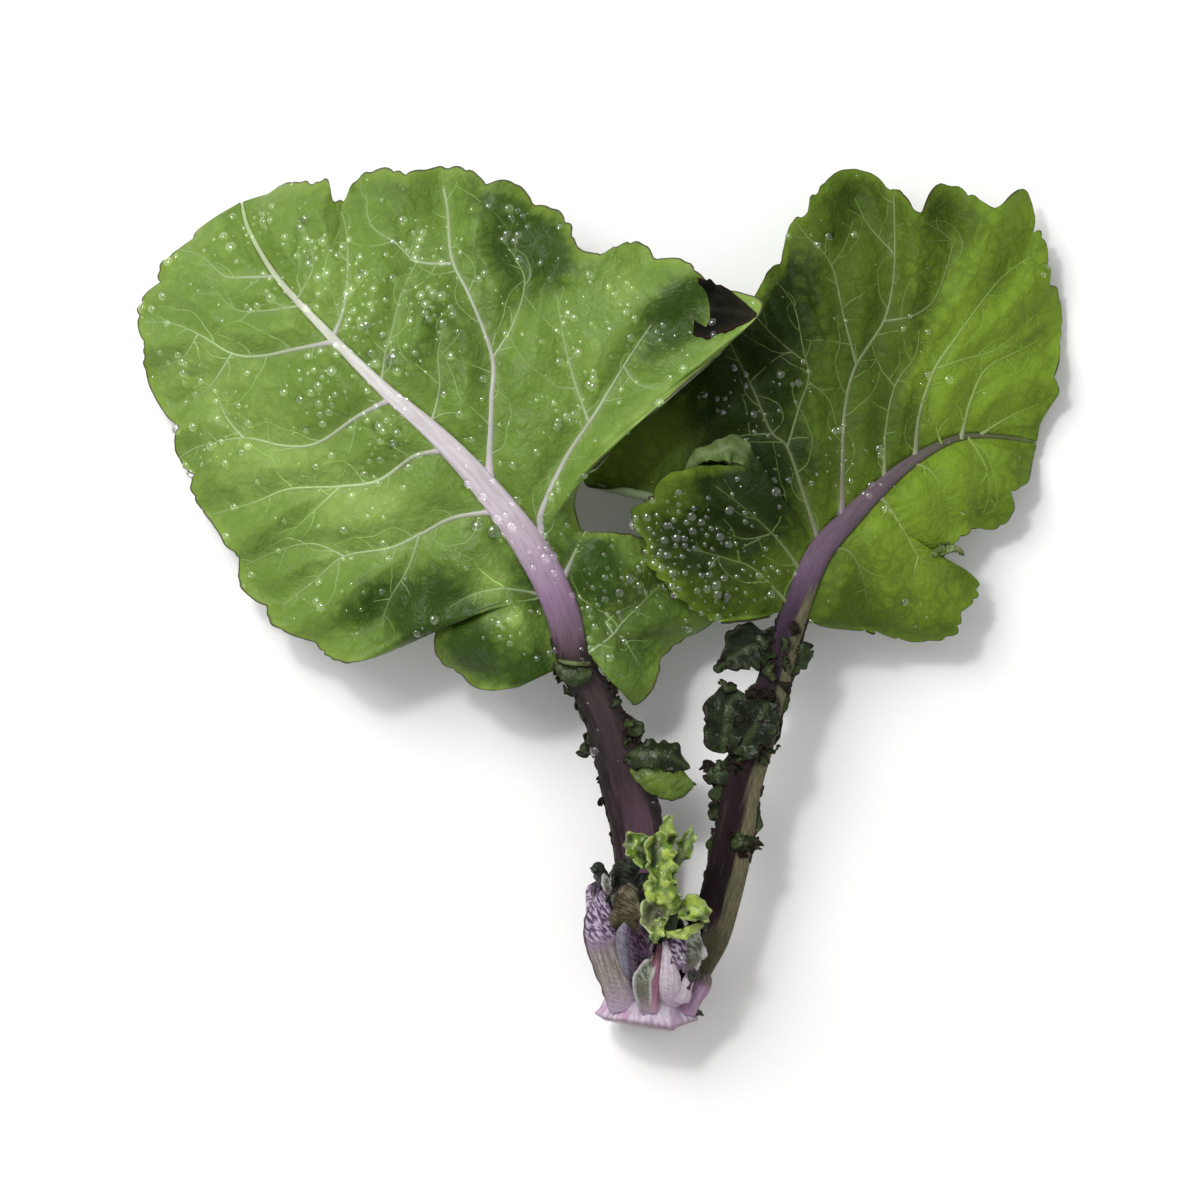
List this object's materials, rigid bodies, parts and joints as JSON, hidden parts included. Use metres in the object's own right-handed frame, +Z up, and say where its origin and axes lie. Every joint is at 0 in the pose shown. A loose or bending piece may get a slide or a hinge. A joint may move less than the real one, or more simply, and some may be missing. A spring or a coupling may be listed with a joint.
{
  "type": "kale sprout",
  "caption": "Kale sprout lying on its side: a cut stump with a purple heart and broad, waved green leaves on long petioles with small leaflets.",
  "frame": {"origin": "middle of the box's underside, on the surface that the sprout lies on", "axes": "+Z up from the surface; +Y from the cut stump towards the leaf tips; +X to the right across the leaves"},
  "size_m": [0.1026, 0.0952, 0.0216],
  "materials": {
    "stump": "moist cut stem, pale pink-lilac with a brownish rim",
    "heart": "dark purple young leaves with pale lilac ribs, satin",
    "leaf_left": "mid green leaf, waxy satin, pale lilac veins, purple petiole",
    "leaf_right": "dark green leaf with yellow-green margins, waxy satin, purple petiole",
    "frill_leaf": "small yellow-green frilled leaf, satin"
  },
  "bodies": {
    "root": {"stump": "stump", "heart": "heart", "leaf_left": "leaf_left", "leaf_right": "leaf_right", "frill_leaf": "frill_leaf"}
  },
  "joints": []
}
